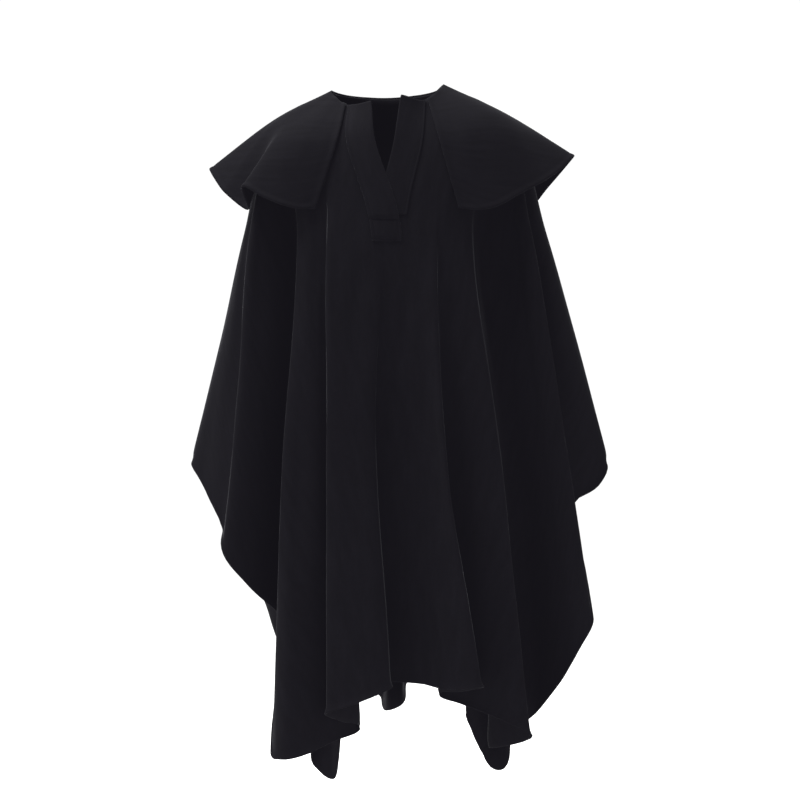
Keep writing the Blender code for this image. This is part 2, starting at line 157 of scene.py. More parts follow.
BACK_FOLDS = [
    Fold("over_arm_right", 279, 8, 338, 12, 392, 15, -664, 45),
    Fold("arm_back_right", 272, 45, 324, 50, 362, 66, -704, 40),
    Fold("arm_back_valley_right", 256, 64, 296, 76, 328, 92, -748, 16),
    Fold("arm_back_ridge_right", 240, 88, 282, 128, 310, 182, -856, 24),
    Fold("back_side_valley_right", 186, 62, 214, 70, 244, 84, -1010, 26),
    Fold("back_edge_right", 160, 88, 198, 134, 221, 190, -1196, 18),
    Fold("back_corner_right", 150, 97, 188, 154, 203, 224, -1253, 18),
    Fold("back_hem_right", 142, 101, 168, 148, 173, 206, -1216, 18),
    Fold("corner_turn_right", 134, 102, 148, 128, 138, 158, -1130, 20),
    Fold("back_ridge_right", 98, 114, 120, 186, 146, 280, -1104, 15),
    Fold("back_valley_right", 58, 114, 56, 140, 30, 152, -1074, 20),
    Fold("back_ridge_centre", 10, 119, 8, 196, 4, 284, -1144, 36),
    Fold("back_valley_left", -42, 114, -38, 140, -24, 152, -1099, 20),
    Fold("back_ridge_left", -84, 114, -88, 186, -74, 280, -1112, 18),
    Fold("corner_turn_left", -116, 105, -109, 125, -97, 154, -1150, 22),
    Fold("back_hem_left", -134, 99, -139, 145, -114, 208, -1267, 11),
    Fold("back_corner_left", -148, 96, -158, 150, -143, 216, -1248, 20),
    Fold("back_edge_left", -160, 88, -172, 130, -152, 184, -1196, 18),
    Fold("back_side_valley_left", -186, 60, -200, 68, -202, 92, -1020, 26),
    Fold("arm_back_ridge_left", -236, 84, -250, 130, -262, 180, -872, 22),
    Fold("arm_back_valley_left", -250, 62, -280, 74, -305, 90, -746, 16),
    Fold("arm_back_left", -262, 42, -306, 48, -340, 60, -700, 40),
]
FOLDS = FRONT_FOLDS + BACK_FOLDS
FOLD_NAMES = [fold.name for fold in FOLDS]
CUT_LEFT = FOLD_NAMES.index("opening_left")  # the placket is cut between these two folds
CUT_RIGHT = FOLD_NAMES.index("opening_right")
SEAM_RIGHT = FOLD_NAMES.index("over_arm_right")  # where the front panel meets the back one

# The neckline and the line over the shoulders that the fold lines pass through, stretch by stretch.
NECKLINE = {
    (0, CUT_LEFT): [(-108, 4, 4), (-98, -28, -12), (-74, -54, -27)],
    (CUT_LEFT, CUT_RIGHT): [(-74, -54, -27), (-8, -88, -20), (56, -58, -18)],
    (CUT_RIGHT, SEAM_RIGHT): [(56, -58, -18), (80, -30, 2), (92, 2, 15)],
    (SEAM_RIGHT, len(FOLDS)): [(92, 2, 15), (72, 48, 8), (-6, 78, 2), (-84, 50, 4), (-108, 4, 4)],
}
SHOULDER_LINE = {
    (0, CUT_LEFT): [(-214, 4, -62), (-192, -56, -84), (-140, -87, -92), (-77, -95, -90)],
    (CUT_LEFT, CUT_RIGHT): [(-77, -95, -90), (-12, -107, -90), (51, -95, -90)],
    (CUT_RIGHT, SEAM_RIGHT): [(51, -95, -90), (130, -88, -92), (190, -56, -80), (214, 4, -56)],
    (SEAM_RIGHT, len(FOLDS)): [
        (214, 4, -56),
        (176, 72, -74),
        (60, 106, -84),
        (-60, 106, -84),
        (-178, 72, -78),
        (-214, 4, -62),
    ],
}

CURVE_POINTS = 33  # of a smooth curve between two of the points that it passes through
LINE_POINTS = 1200  # of a whole fold line before it is divided into its steps
LINE_STEPS = 228  # of a fold line from the neckline to the cut edge
CHEST_SHARE = 8 / 19  # the share of them that lies above the chest
HANDLE_SHARE = 0.38  # most of the way to its neighbour that a fold's crown reaches
SMALLEST = 1e-12  # keeps a direction of no length from being divided by nothing


def smooth_line(points, count):
    """Evenly spaced points on a smooth curve through the given points."""
    knots = np.array(points, float)
    knots = np.vstack([2 * knots[0] - knots[1], knots, 2 * knots[-1] - knots[-2]])
    spans = np.sqrt(np.linalg.norm(np.diff(knots, axis=0), axis=1))
    t = np.linspace(0, 1, CURVE_POINTS)[:, None]
    stretches = []
    for i in range(1, len(knots) - 2):
        a, b, c, d = knots[i - 1 : i + 3]
        s0, s1, s2 = spans[i - 1 : i + 2]
        leave = (b - a) / s0 - (c - a) / (s0 + s1) + (c - b) / s1
        arrive = (c - b) / s1 - (d - b) / (s1 + s2) + (d - c) / s2
        bends = (t**3 - 2 * t**2 + t) * s1 * leave + (t**3 - t**2) * s1 * arrive
        stretches.append((2 * t**3 - 3 * t**2 + 1) * b + (3 * t**2 - 2 * t**3) * c + bends)
    dense = np.vstack(stretches)
    along = lengths_down(dense[None])[0]
    return read_at(dense, along, np.linspace(0, along[-1], count))


def read_at(values, places, wanted):
    """The rows of `values`, known at `places`, read at the wanted places."""
    return np.stack([np.interp(wanted, places, values[:, k]) for k in range(values.shape[1])], axis=1)


def lengths_down(grid):
    """How far each point of a grid is down its own column."""
    steps = np.linalg.norm(np.diff(grid, axis=1), axis=2)
    return np.concatenate([np.zeros((len(grid), 1)), np.cumsum(steps, axis=1)], axis=1)


def lengths_across(grid):
    """How far each point of a grid is along its own row."""
    return lengths_down(grid.transpose(1, 0, 2)).T


def from_sides(grid):
    """How far each point of a grid is from the nearer of its two side edges."""
    across = lengths_across(grid)
    return np.minimum(across, across[-1:] - across)


def unit(vectors):
    """The vectors at a length of 1."""
    return vectors / np.maximum(np.linalg.norm(vectors, axis=-1, keepdims=True), SMALLEST)


def ease(share):
    """A soft step from 0 to 1."""
    share = np.clip(share, 0, 1)
    return share * share * (3 - 2 * share)


def fold_line(neck, shoulder, fold):
    """One fold line from neck to cut edge, in metres."""
    end = (fold.end_x, fold.end_y, fold.end_z)
    middle = (fold.mid_x, fold.mid_y, (CHEST_Z + fold.end_z) / 2)
    chest = (fold.chest_x, fold.chest_y, CHEST_Z)
    whole = smooth_line([neck, shoulder, chest, middle, end], LINE_POINTS)
    split = int(np.argmax(whole[:, 2] <= CHEST_Z))
    upper_steps = round(LINE_STEPS * CHEST_SHARE)
    upper = np.linspace(0, split, upper_steps + 1)
    lower = np.linspace(split, len(whole) - 1, LINE_STEPS - upper_steps + 1)
    return read_at(whole, np.arange(len(whole)), np.r_[upper, lower[1:]]) * MM


def loft(lines, crowns, places, closed):
    """Cloth drawn through fold lines: one column of points for each place along their order."""
    if closed:
        before, after = np.roll(lines, 1, axis=0), np.roll(lines, -1, axis=0)
    else:
        before = np.concatenate([2 * lines[:1] - lines[1:2], lines[:-1]])
        after = np.concatenate([lines[1:], 2 * lines[-1:] - lines[-2:-1]])
    gap_before = np.linalg.norm(lines - before, axis=2, keepdims=True)
    gap_after = np.linalg.norm(after - lines, axis=2, keepdims=True)
    heading = unit(unit(lines - before) + unit(after - lines))
    crowns = np.array(crowns)[:, None, None] * MM
    handle_in = heading * np.minimum(crowns, HANDLE_SHARE * gap_before)
    handle_out = heading * np.minimum(crowns, HANDLE_SHARE * gap_after)
    places = np.asarray(places, float)
    first = np.floor(places).astype(int)
    if not closed:
        first = np.minimum(first, len(lines) - 2)
    t = (places - first)[:, None, None]
    i, j = first % len(lines), (first + 1) % len(lines)
    return (
        (1 - t) ** 3 * lines[i]
        + 3 * (1 - t) ** 2 * t * (lines[i] + handle_out[i])
        + 3 * (1 - t) * t**2 * (lines[j] - handle_in[j])
        + t**3 * lines[j]
    )


STEP_GROWTH = 1.6  # how much longer each step is than the last, away from a crown or an edge
COLUMN_LEVEL = 0.8  # how far down the fold lines the columns are spaced out
LEVEL_POINTS = 81  # of the cloth between two folds at that level
TIGHT_CROWN = 25  # a fold with this crown or a broader one has no closer columns
CROWN_PARTS = 5  # the columns beside a tight crown are its breadth over this away from it


def spaced(length, first_step, last_step, pitch):
    """Distances along a stretch, `pitch` apart at most and closer towards both its ends."""
    runs = []
    for step in (first_step, last_step):
        run = [0.0]
        while run[-1] < length / 2:
            run.append(run[-1] + min(step, pitch))
            step *= STEP_GROWTH
        runs.append(np.array(run) * (length / 2 / run[-1]))
    return np.r_[runs[0][:-1], length - runs[1][::-1]]


def column_places(lines, crowns, first, last, pitch, edge_step, closed):
    """Where the mesh's columns go, from fold `first` to fold `last`: close together at tight crowns."""
    row = round(COLUMN_LEVEL * (lines.shape[1] - 1))
    places = []
    for i in range(first, last):
        dense = np.linspace(i, i + 1, LEVEL_POINTS)
        curve = loft(lines[:, row : row + 1], crowns, dense, closed)[:, 0]
        along = lengths_down(curve[None])[0]
        steps = []
        for fold, edge in ((i, first), (i + 1, last)):
            crown = crowns[fold % len(crowns)] * MM
            tight = crown / CROWN_PARTS if crown < TIGHT_CROWN * MM else pitch
            steps.append(edge_step if fold == edge else tight)
        spots = spaced(along[-1], steps[0], steps[1], pitch)
        places.extend(np.interp(spots[:-1], along, dense))
    return np.array(places + [last])


def rows_to_rim(grid, pitch, rim):
    """Redraws each column with even rows, and then the rows of the rim, given from the cut edge."""
    along = lengths_down(grid)
    count = int(np.ceil((along[:, -1].max() - rim[-1]) / pitch))
    rows = []
    for column, length in zip(grid, along):
        even = np.linspace(0, length[-1] - rim[-1], count + 1)
        rows.append(read_at(column, length, np.r_[even, length[-1] - np.array(rim[-2::-1])]))
    return np.array(rows)


def outward(grid):
    """The directions out of the cloth at each point of a grid, columns down and rows across."""
    return unit(np.cross(np.gradient(grid, axis=1), np.gradient(grid, axis=0)))


# Soft creases that cross or follow the folds, also behind, as seen from in front: from
# one point to another, in millimetres, with how far it bows sideways. A negative depth is a ridge.
Crease = namedtuple("Crease", "top_x top_z low_x low_z bow depth breadth")

FRONT_CREASES = [
    Crease(-56, -280, -50, -560, 3, 5.0, 18),
    Crease(20, -340, 24, -520, 2, 4.0, 12),
    Crease(-92, -60, -47, -232, 6, -2.0, 8),
    Crease(70, -60, 30, -232, -6, -1.4, 8),
    Crease(-32, -291, -2, -294, 0, 2.0, 7),
    Crease(-119, -235, -116, -420, 3, -1.0, 9),
    Crease(-101, -250, -96, -560, -5, 1.2, 14),
    Crease(-62, -320, -38, -860, 8, 1.6, 22),
    Crease(-40, -278, -64, -420, 4, 0.9, 12),
    Crease(18, -280, 40, -470, -5, 1.1, 12),
    Crease(-12, -275, -4, -400, 2, 1.4, 9),
    Crease(58, -250, 66, -640, 4, 1.1, 16),
    Crease(76, -420, 116, -880, -6, 1.4, 18),
    Crease(-152, -330, -170, -900, -6, 1.6, 20),
    Crease(-136, -640, -146, -1040, 5, -1.5, 22),
    Crease(118, -300, 160, -760, 6, 1.5, 18),
    Crease(150, -640, 196, -1010, -6, -1.4, 20),
    Crease(-236, -300, -258, -620, 6, 1.0, 14),
    Crease(214, -420, 288, -900, 6, -1.3, 22),
    Crease(-84, -760, -70, -1030, 4, -1.4, 22),
    Crease(70, -800, 96, -1010, -4, 1.4, 20),
]
BACK_CREASES = [
    Crease(-120, -260, -140, -700, 6, 2.0, 14),
    Crease(-62, -250, -66, -620, -4, 2.0, 16),
    Crease(-18, -300, -8, -800, 5, 2.2, 18),
    Crease(34, -260, 44, -560, -5, 1.8, 14),
    Crease(96, -420, 116, -940, 6, -2.0, 20),
    Crease(128, -260, 150, -640, -5, 2.0, 14),
    Crease(-104, -620, -96, -1040, 4, -2.2, 22),
    Crease(206, -280, 250, -720, 6, 2.0, 16),
    Crease(-214, -280, -236, -720, -6, 2.0, 16),
    Crease(264, -300, 330, -640, 4, 1.6, 14),
    Crease(-262, -300, -312, -630, -4, 1.6, 14),
    Crease(14, -640, 60, -1060, -6, 2.0, 20),
]
CREASE_SETS_IN = 0.3  # the share of its length by which a crease is at its full depth
CREASE_FADES = 0.35  # the last share of its length, in which it fades away


def creased(grid, out, creases):
    """The grid with its creases pressed in along the outward directions."""
    depth = np.zeros(grid.shape[:2])
    across, up = grid[..., 0] / MM, grid[..., 2] / MM
    for crease in creases:
        run = np.array([crease.low_x - crease.top_x, crease.low_z - crease.top_z], float)
        length = np.hypot(*run)
        run /= length
        share = ((across - crease.top_x) * run[0] + (up - crease.top_z) * run[1]) / length
        aside = (across - crease.top_x) * run[1] - (up - crease.top_z) * run[0]
        aside -= crease.bow * 4 * share * (1 - share)  # the whole bow half way along
        fade = ease(share / CREASE_SETS_IN) * ease((1 - share) / CREASE_FADES)
        depth += crease.depth * MM * fade * np.exp(-((aside / crease.breadth) ** 2))
    return grid - out * depth[..., None]


UNEVEN_BY = 2.4 * MM
UNEVEN_FROM = -0.26  # the unevenness sets in below this level
UNEVEN_FULL = -0.40  # and is at its full depth from here down
SLOW_WAVES = (9, 2.8)  # to a metre, across the cloth and down it
QUICK_WAVES = (21, 6)
QUICK_SHARE = 0.5  # how deep the quick waves are beside the slow ones
QUICK_SEED = 9  # past the seed of the slow waves


def uneven(grid, out, seed):
    """The grid with the slow, slight unevenness of hanging wool."""
    along = lengths_down(grid)
    across = lengths_across(grid)[:, -1]
    fade = ease((UNEVEN_FROM - grid[..., 2]) / (UNEVEN_FROM - UNEVEN_FULL))
    moved = grid.copy()
    for i in range(grid.shape[0]):
        for j in range(grid.shape[1]):
            if fade[i, j] > 0:
                x, y = across[i], along[i, j]
                slow = noise.noise((x * SLOW_WAVES[0], y * SLOW_WAVES[1], seed))
                quick = noise.noise((x * QUICK_WAVES[0], y * QUICK_WAVES[1], seed + QUICK_SEED))
                moved[i, j] += out[i, j] * (slow + QUICK_SHARE * quick) * UNEVEN_BY * fade[i, j]
    return moved


SWELL_MIDDLE = 3.5 * MM  # a turned hem is thickest this far from its edge
SWELL_BREADTH = 3.5 * MM
GROOVE_MIDDLE = 11 * MM  # and pressed thinnest here, past the turning
GROOVE_BREADTH = 2.5 * MM
EDGE_SHARE = 0.015  # of the rounding that is left off, so that both faces end apart


def half_thickness(from_edge, swell, groove):
    """Half the cloth's thickness at a distance from its edge, where it is turned and rounded."""
    full = CLOTH / 2 + swell * np.exp(-(((from_edge - SWELL_MIDDLE) / SWELL_BREADTH) ** 2))
    full -= groove * np.exp(-(((from_edge - GROOVE_MIDDLE) / GROOVE_BREADTH) ** 2))
    inside = 1 - np.clip(from_edge / full, EDGE_SHARE, 1)
    return full * np.sqrt(1 - inside**2)


NO_SLIT = (0, 0, 0)


def cloth_piece(name, middle, half, material, slit=NO_SLIT):
    """A closed piece of cloth about a grid of points down its middle, with a UV map in metres.

    `slit` is the two columns of the grid between which it is cut open from the top, and the row
    down to which it is.
    """
    out = outward(middle)
    outer, inner = middle + out * half[..., None], middle - out * half[..., None]
    wide, deep = middle.shape[:2]
    points = np.concatenate([outer.reshape(-1, 3), inner.reshape(-1, 3)])
    keep = np.ones((wide - 1, deep - 1), bool)
    slit_left, slit_right, slit_bottom = slit
    keep[slit_left:slit_right, :slit_bottom] = False
    faces = []

    def corner(i, j, side):
        return side * wide * deep + i * deep + j

    def kept(i, j):
        return 0 <= i < wide - 1 and 0 <= j < deep - 1 and keep[i, j]

    for i in range(wide - 1):
        for j in range(deep - 1):
            if not keep[i, j]:
                continue
            ring = [(i, j), (i, j + 1), (i + 1, j + 1), (i + 1, j)]
            faces.append([corner(*place, 0) for place in ring])
            faces.append([corner(*place, 1) for place in reversed(ring)])
            for k, cell in enumerate([(i - 1, j), (i, j + 1), (i + 1, j), (i, j - 1)]):
                if not kept(*cell):
                    a, b = ring[k], ring[(k + 1) % len(ring)]
                    faces.append([corner(*b, 0), corner(*a, 0), corner(*a, 1), corner(*b, 1)])
    used = sorted({index for face in faces for index in face})
    order = {index: k for k, index in enumerate(used)}
    mesh = bpy.data.meshes.new(name)
    faces = [[order[index] for index in face] for face in faces]
    mesh.from_pydata([tuple(points[index]) for index in used], [], faces)
    along = lengths_down(middle)
    across = lengths_across(middle)
    across = across - across[wide // 2]
    flat = np.stack([np.tile(across.ravel(), 2), np.tile(along.ravel(), 2)], axis=1)[used]
    corners = np.empty(len(mesh.loops), int)
    mesh.loops.foreach_get("vertex_index", corners)
    mesh.uv_layers.new(name="cloth").data.foreach_set("uv", flat[corners].ravel())
    mesh.shade_smooth()
    mesh.materials.append(material)
    piece = bpy.data.objects.new(name, mesh)
    bpy.context.scene.collection.objects.link(piece)
    return piece


WOOL_TINT = (1, 0.93, 1.25)
WOOL_SHADE = 0.0017
WOOL_ROUGHNESS = 0.92
WOOL_SHINE = 0.02
SHEEN = 0.052  # the fuzz of fibres that catches light at a slant
SHEEN_ROUGHNESS = 0.24
SHEEN_TINT = (0.80, 0.81, 0.88, 1)
GRAIN_ROUGHNESS = 0.6
MOTTLE_DARK = 0.78  # the felt's darkest and lightest patches, as shares of its shade
MOTTLE_LIGHT = 1.26
NAP_SHADOW = 0.72  # the share of light between the hairs of the nap
STRAY_FIBRE = (0.02, 0.02, 0.024)
STRAY_SHARE = 0.5
FELT_HEIGHT = 0.12 * MM
NAP_HEIGHT = 0.22 * MM
FIBRE_HEIGHT = 0.14 * MM
BUMP_STRENGTH = 0.7
BLACK, WHITE = (0, 0, 0), (1, 1, 1)
FIRST_COLOUR, SECOND_COLOUR, MIXED_COLOUR = 6, 7, 2  # sockets of a mix node


def wool_cloth(name):
    """Near-black felted wool: mottled felt, a short nap brushed downwards and stray lighter fibres."""
    material = bpy.data.materials.new(name)
    material.use_nodes = True
    nodes, links = material.node_tree.nodes, material.node_tree.links
    shader = nodes["Principled BSDF"]
    shader.inputs["Roughness"].default_value = WOOL_ROUGHNESS
    shader.inputs["Specular IOR Level"].default_value = WOOL_SHINE
    shader.inputs["Sheen Weight"].default_value = SHEEN
    shader.inputs["Sheen Roughness"].default_value = SHEEN_ROUGHNESS
    shader.inputs["Sheen Tint"].default_value = SHEEN_TINT
    where = nodes.new("ShaderNodeTexCoord")

    def grain(across, down, detail):
        """A noise pattern with its own scale across the cloth and down it, per metre."""
        stretch = nodes.new("ShaderNodeMapping")
        stretch.inputs["Scale"].default_value = (across, down, 1)
        pattern = nodes.new("ShaderNodeTexNoise")
        pattern.inputs["Scale"].default_value = 1
        pattern.inputs["Detail"].default_value = detail
        pattern.inputs["Roughness"].default_value = GRAIN_ROUGHNESS
        links.new(where.outputs["UV"], stretch.inputs["Vector"])
        links.new(stretch.outputs["Vector"], pattern.inputs["Vector"])
        return pattern.outputs["Fac"]

    def ramp(pattern, low, high, dark, light):
        """Turns a pattern into colours between two values."""
        colours = nodes.new("ShaderNodeValToRGB")
        colours.color_ramp.elements[0].position = low
        colours.color_ramp.elements[1].position = high
        colours.color_ramp.elements[0].color = (*dark, 1)
        colours.color_ramp.elements[1].color = (*light, 1)
        links.new(pattern, colours.inputs["Fac"])
        return colours.outputs["Color"]

    def mix(kind, share, first, second):
        """Mixes two colours, by the number of each socket, since other sockets have the same names."""
        blend = nodes.new("ShaderNodeMix")
        blend.data_type = "RGBA"
        blend.blend_type = kind
        blend.inputs["Factor"].default_value = share
        links.new(first, blend.inputs[FIRST_COLOUR])
        links.new(second, blend.inputs[SECOND_COLOUR])
        return blend.outputs[MIXED_COLOUR]

    felt = grain(across=60, down=14, detail=5)
    nap = grain(across=340, down=120, detail=4)
    fibres = grain(across=1700, down=500, detail=2)
    darkest = [channel * MOTTLE_DARK * WOOL_SHADE for channel in WOOL_TINT]
    lightest = [channel * MOTTLE_LIGHT * WOOL_SHADE for channel in WOOL_TINT]
    base = ramp(felt, low=0.32, high=0.68, dark=darkest, light=lightest)
    streaks = ramp(nap, low=0.3, high=0.7, dark=[NAP_SHADOW] * 3, light=WHITE)
    stray = ramp(fibres, low=0.66, high=0.8, dark=BLACK, light=STRAY_FIBRE)
    coloured = mix("MULTIPLY", 1, base, streaks)
    links.new(mix("ADD", STRAY_SHARE, coloured, stray), shader.inputs["Base Color"])

    surface = None
    for pattern, height in ((felt, FELT_HEIGHT), (nap, NAP_HEIGHT), (fibres, FIBRE_HEIGHT)):
        bump = nodes.new("ShaderNodeBump")
        bump.inputs["Strength"].default_value = BUMP_STRENGTH
        bump.inputs["Distance"].default_value = height
        links.new(pattern, bump.inputs["Height"])
        if surface:
            links.new(surface, bump.inputs["Normal"])
        surface = bump.outputs["Normal"]
    links.new(surface, shader.inputs["Normal"])
    return material


necks, shoulders = {}, {}
for (first, last), neck_points in NECKLINE.items():
    neck_line = smooth_line(neck_points, last - first + 1)
    shoulder_line = smooth_line(SHOULDER_LINE[first, last], last - first + 1)
    for i in range(first, last):
        necks[i], shoulders[i] = neck_line[i - first], shoulder_line[i - first]
fold_lines = np.array([fold_line(necks[i], shoulders[i], fold) for i, fold in enumerate(FOLDS)])
fold_crowns = [fold.crown for fold in FOLDS]

PANEL_PITCH = 11 * MM  # from column to column of a panel's mesh, at most
PANEL_ROW_PITCH = PANEL_PITCH * 1.1
PANEL_EDGE_STEP = 0.5 * MM  # from a seam to the first column in from it
# The rows along a cut edge, by how far they are from it.
RIM_ROWS = [0.0, 0.15 * MM, 0.6 * MM, 1.4 * MM, 2.6 * MM, 4.5 * MM, 7 * MM, 10 * MM, 13 * MM, 18 * MM]
HEM_SWELL = 1.2 * MM
HEM_GROOVE = 0.35 * MM
HEM_CURL = 4 * MM  # how far the cut edge of the felt curls outwards
CURL_HEIGHT = 6 * MM  # how far up from the edge it does
CURL_SETS_IN = 40 * MM  # how far from the seams it is at its full width
TIP_ROUND = 5 * MM  # how far the sharp tips over the arms are worn back
TIP_REACH = 14 * MM  # how far round a tip they are
SEAM_DITCH = 1.1 * MM  # how far the cloth sinks at a seam
DITCH_REACH = 5 * MM
SEAM_LAP = 0.12 * MM  # how far each panel's edge is drawn into the seam
LAP_REACH = 3 * MM
SLIT_SHARE = 7 / 19  # the slit below the neck is cut this far down the steps of a fold line


def panel(name, first, last, creases, seed, material):
    """One body panel between its two over-arm seams, and the points of its outer face."""
    places = column_places(fold_lines, fold_crowns, first, last, PANEL_PITCH, PANEL_EDGE_STEP, True)
    grid = loft(fold_lines, fold_crowns, places, True)
    slit_length = lengths_down(grid)[:, round(SLIT_SHARE * LINE_STEPS)]
    grid = rows_to_rim(grid, PANEL_ROW_PITCH, RIM_ROWS)
    grid = creased(grid, outward(grid), creases)
    grid = uneven(grid, outward(grid), seed)
    along = lengths_down(grid)
    from_hem = along[:, -1:] - along
    curl = HEM_CURL * ease(from_sides(grid) / CURL_SETS_IN)
    grid = grid + outward(grid) * (curl * np.exp(-from_hem / CURL_HEIGHT))[..., None]
    for tip in (grid[0, -1].copy(), grid[-1, -1].copy()):
        near = np.exp(-((np.linalg.norm(grid - tip, axis=2) / TIP_REACH) ** 2))
        grid[..., 0] -= near * np.sign(tip[0]) * TIP_ROUND
    across = lengths_across(grid)
    from_seam = from_sides(grid)
    half = half_thickness(from_hem, HEM_SWELL, HEM_GROOVE)
    half = np.minimum(half, half_thickness(from_seam, 0, 0))
    sink = CLOTH / 2 + SEAM_DITCH * np.exp(-((from_seam / DITCH_REACH) ** 2))
    middle = grid - outward(grid) * sink[..., None]
    # Each seam's own column, one just inside it, and how far the points are from the seam.
    for edge, inner, apart in ((0, 2, across), (-1, -3, across[-1:] - across)):
        share = np.clip(1 - apart / LAP_REACH, 0, 1)[..., None]
        middle = middle - unit(middle[inner] - middle[edge]) * share * SEAM_LAP
    slit = NO_SLIT
    if first <= CUT_LEFT < last:
        slit_left, slit_right = np.searchsorted(places, (CUT_LEFT, CUT_RIGHT))
        slit = (slit_left, slit_right, np.argmax(along[slit_left] >= slit_length[slit_left]))
    return cloth_piece(name, middle, half, material, slit), grid


wool_front = wool_cloth("wool_front")
wool_back = wool_cloth("wool_back")
front_cloth, front_grid = panel(
    "front_cloth", 0, SEAM_RIGHT, FRONT_CREASES, seed=1.0, material=wool_front
)
back_cloth, back_grid = panel(
    "back_cloth", SEAM_RIGHT, len(FOLDS), BACK_CREASES, seed=5.0, material=wool_back
)
for piece, node in ((front_cloth, "front_panel"), (back_cloth, "back_panel")):
    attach(piece, "root")
    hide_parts(node)

# ---- The capelet collar ----
# A flared collar of the same wool, sewn in at the neckline and open at the front. It spreads over both
# shoulders and the upper back, and its turned hem stands clear of the panels below.

# One row for each line of its flare, in millimetres, from the front edge on the wearer's left round
# the back to the other front edge.
Flare = namedtuple("Flare", "name neck_x neck_y neck_z mid_x mid_y mid_z hem_x hem_y hem_z crown")

CAPELET_FLARES = [
    Flare("front_edge_right", 64, -57, -13, 82, -102, -86, 117, -120, -214, 14),
    Flare("front_panel_right", 74, -43, -4, 112, -100, -80, 166, -124, -216, 50),
    Flare("arm_front_right", 82, -28, 6, 160, -90, -66, 232, -106, -184, 50),
    Flare("shoulder_front_right", 88, -12, 14, 198, -50, -46, 292, -52, -146, 40),
    Flare("shoulder_tip_right", 93, 4, 20, 216, 4, -40, 330, 14, -108, 14),
    Flare("shoulder_back_right", 90, 20, 18, 206, 44, -56, 286, 60, -160, 30),
    Flare("blade_valley_right", 82, 38, 14, 168, 90, -84, 226, 128, -226, 30),
    Flare("blade_ridge_right", 66, 56, 11, 112, 116, -92, 150, 172, -232, 30),
    Flare("back_valley_right", 34, 72, 8, 60, 122, -98, 78, 150, -250, 40),
    Flare("back_ridge", -6, 82, 6, -4, 126, -98, 0, 178, -242, 40),
    Flare("back_valley_left", -46, 74, 6, -62, 122, -98, -80, 150, -252, 40),
    Flare("blade_ridge_left", -76, 60, 7, -112, 116, -94, -150, 172, -238, 30),
    Flare("blade_valley_left", -94, 40, 8, -168, 90, -88, -222, 128, -236, 30),
    Flare("shoulder_back_left", -104, 22, 9, -206, 50, -64, -286, 80, -172, 30),
    Flare("shoulder_tip_left", -109, 5, 9, -216, 8, -47, -331, 22, -131, 14),
    Flare("shoulder_front_left", -109, -1, 7, -213, -20, -52, -302, -36, -176, 14),
    Flare("shoulder_valley_left", -108, -8, 4, -204, -42, -60, -256, -70, -212, 12),
    Flare("shoulder_ridge_left", -105, -18, -2, -190, -68, -70, -264, -98, -174, 12),
    Flare("arm_front_left", -99, -30, -8, -160, -92, -82, -222, -120, -196, 50),
    Flare("front_panel_left", -91, -42, -17, -126, -100, -88, -172, -128, -214, 50),
    Flare("front_edge_left", -82, -52, -22, -95, -102, -90, -133, -124, -216, 14),
]
CAPELET_CREASES = [
    Crease(-104, -40, -100, -130, 4, 1.6, 14),
    Crease(-150, -90, -132, -190, -4, 1.8, 16),
    Crease(-176, -60, -196, -170, 5, -1.4, 16),
    Crease(96, -30, 112, -150, -4, 1.6, 14),
    Crease(150, -60, 176, -190, 5, 1.6, 18),
    Crease(196, -50, 246, -150, -4, -1.4, 18),
]
FLARE_POINTS = 121  # of each line of its flare
CAPELET_PITCH = 7 * MM
CAPELET_EDGE_STEP = 0.3 * MM
SEAM_GAP = 0.3 * MM  # between one layer of cloth and the next
CAPELET_EASE = 3.2 * MM  # how far it stands off the panels past its seam
EASE_BY = 0.2  # the share of its depth by which it does
CAPELET_SWELL = 0.9 * MM
CAPELET_GROOVE = 0.45 * MM
UNDER_ROWS = 60  # the rows of the panels, from the neckline, that the capelet can rest on


def resting(grid, below):
    """The capelet's points, lifted where they must to lie on the panels, closest at the neckline."""
    points, faces = [], []
    for sheet in below:
        wide, deep = sheet.shape[:2]
        start = len(points)
        points.extend(sheet.reshape(-1, 3))
        corners = [start + i * deep + j for i in range(wide - 1) for j in range(deep - 1)]
        faces.extend((k, k + 1, k + deep + 1, k + deep) for k in corners)
    tree = BVHTree.FromPolygons([Vector(point) for point in points], faces)
    lifted = grid.copy()
    rows = np.linspace(0, 1, grid.shape[1])
    for j, share in enumerate(rows):
        clear = CLOTH + SEAM_GAP + CAPELET_EASE * min(1, share / EASE_BY)
        for i in range(len(grid)):
            spot, out, _, _ = tree.find_nearest(Vector(grid[i, j]))
            height = (Vector(grid[i, j]) - spot).dot(out)
            if height < clear:
                lifted[i, j] = np.array(Vector(grid[i, j]) + out * (clear - height))
    return lifted


flare_crowns = [flare.crown for flare in CAPELET_FLARES]
flare_points = [(flare[1:4], flare[4:7], flare[7:10]) for flare in CAPELET_FLARES]
flare_lines = np.array([smooth_line(points, FLARE_POINTS) for points in flare_points]) * MM
flare_places = column_places(
    flare_lines, flare_crowns, 0, len(flare_lines) - 1, CAPELET_PITCH, CAPELET_EDGE_STEP, False
)
capelet_grid = loft(flare_lines, flare_crowns, flare_places, False)
capelet_grid = rows_to_rim(capelet_grid, CAPELET_PITCH, RIM_ROWS)
capelet_grid = creased(capelet_grid, outward(capelet_grid), CAPELET_CREASES)
capelet_grid = resting(capelet_grid, (front_grid[:, :UNDER_ROWS], back_grid[:, :UNDER_ROWS]))
capelet_along = lengths_down(capelet_grid)
from_rim = np.minimum(capelet_along[:, -1:] - capelet_along, from_sides(capelet_grid))
capelet_half = half_thickness(from_rim, CAPELET_SWELL, CAPELET_GROOVE)
capelet_middle = capelet_grid - outward(capelet_grid) * (CLOTH / 2)
wool_capelet = wool_cloth("wool_capelet")
capelet_cloth = cloth_piece("capelet_cloth", capelet_middle, capelet_half, wool_capelet)
